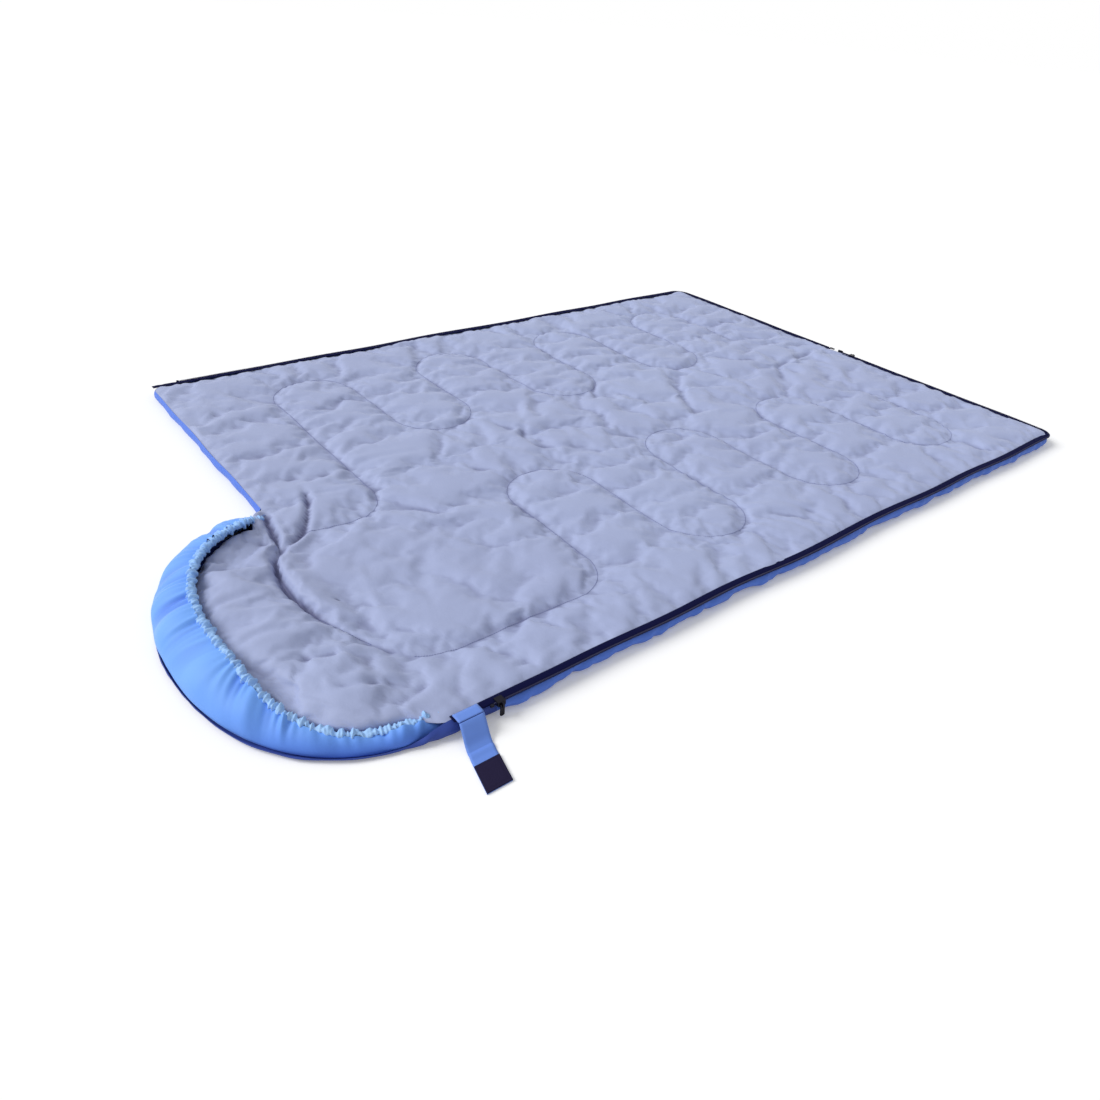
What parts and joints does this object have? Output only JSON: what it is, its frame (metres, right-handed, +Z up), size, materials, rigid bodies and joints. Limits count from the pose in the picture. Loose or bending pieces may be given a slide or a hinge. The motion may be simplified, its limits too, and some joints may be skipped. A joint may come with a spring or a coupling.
{
  "type": "envelope sleeping bag",
  "caption": "Envelope sleeping bag with a padded hood, unzipped and laid open flat like a quilt, with its zip, sliders and closing tab.",
  "frame": {"origin": "on the floor under the fold, half way along the body", "axes": "+X towards the front half's open side, +Y towards the hood, +Z up from the floor"},
  "size_m": [1.5442, 2.2155, 0.0634],
  "materials": {
    "shell_cloth": "woven polyester, slight sheen",
    "hood_base_cloth": "woven polyester, slight sheen",
    "band_cloth": "woven polyester, slight sheen",
    "lining_cloth": "matte brushed polyester",
    "filling": "loose fibre batting",
    "thread": "matte thread",
    "zip_tape": "woven tape",
    "zip_coil": "moulded nylon coil",
    "zip_metal": "dark enamel",
    "strap_webbing": "folded shell cloth",
    "hook_tape": "nylon hooks",
    "loop_tape": "nylon loops",
    "elastic": "woven elastic"
  },
  "bodies": {
    "back_half": {"back_shell": "shell_cloth", "back_fill": "filling", "back_lining": "lining_cloth", "back_quilt_thread": "thread", "back_zip_tape": "zip_tape", "back_zip_coil": "zip_coil", "back_top_stop": "zip_metal", "retainer_box": "zip_metal", "tab_anchor": "strap_webbing"},
    "front_half": {"front_shell": "shell_cloth", "front_fill": "filling", "front_lining": "lining_cloth", "front_quilt_thread": "thread", "front_zip_tape": "zip_tape", "front_zip_coil": "zip_coil", "front_top_stop": "zip_metal", "insertion_pin": "zip_metal", "loop_patch": "loop_tape"},
    "hood": {"hood_shell": "hood_base_cloth", "hood_fill": "filling", "hood_lining": "lining_cloth", "hood_quilt_thread": "thread", "hood_band": "band_cloth", "hood_facing": "lining_cloth", "hood_hem": "band_cloth", "hood_elastic": "elastic"},
    "tab_root": {"tab_strap_root": "strap_webbing"},
    "tab_end": {"tab_strap_end": "strap_webbing", "hook_patch": "hook_tape"},
    "head_slider": {"head_slider_body": "zip_metal"},
    "head_pull": {"head_pull_tab": "zip_metal"},
    "foot_slider": {"foot_slider_body": "zip_metal"},
    "foot_pull": {"foot_pull_tab": "zip_metal"}
  },
  "joints": [
    {"name": "front_fold", "type": "hinge", "parent": "back_half", "child": "front_half", "pos_m": [0, 0, 0.035], "axis": [0, -1, 0], "range_deg": [0, 180]},
    {"name": "hood_fold", "type": "hinge", "parent": "back_half", "child": "hood", "pos_m": [-0.351, 0.95, 0.035], "axis": [1, 0, 0], "range_deg": [0, 60]},
    {"name": "tab_lift", "type": "hinge", "parent": "back_half", "child": "tab_root", "pos_m": [-0.7175, 0.923, 0.02905], "axis": [0, 1, 0], "range_deg": [0, 127.7]},
    {"name": "tab_bend", "type": "hinge", "parent": "tab_root", "child": "tab_end", "pos_m": [-0.75392, 0.923, 0.00095], "axis": [0, 1, 0], "range_deg": [0, 52.3]},
    {"name": "head_slide", "type": "slide", "parent": "back_half", "child": "head_slider", "axis": [0, -1, 0], "range_m": [0, 1.75]},
    {"name": "head_pull_swing", "type": "hinge", "parent": "head_slider", "child": "head_pull", "pos_m": [-0.7192, 0.868, 0.0275], "axis": [0, 1, 0], "range_deg": [0, 150]},
    {"name": "foot_slide", "type": "slide", "parent": "back_half", "child": "foot_slider", "axis": [-1, 0, 0], "range_m": [0, 0.58]},
    {"name": "foot_pull_swing", "type": "hinge", "parent": "foot_slider", "child": "foot_pull", "pos_m": [-0.06, -0.9672, 0.0275], "axis": [-1, 0, 0], "range_deg": [0, 150]}
  ]
}
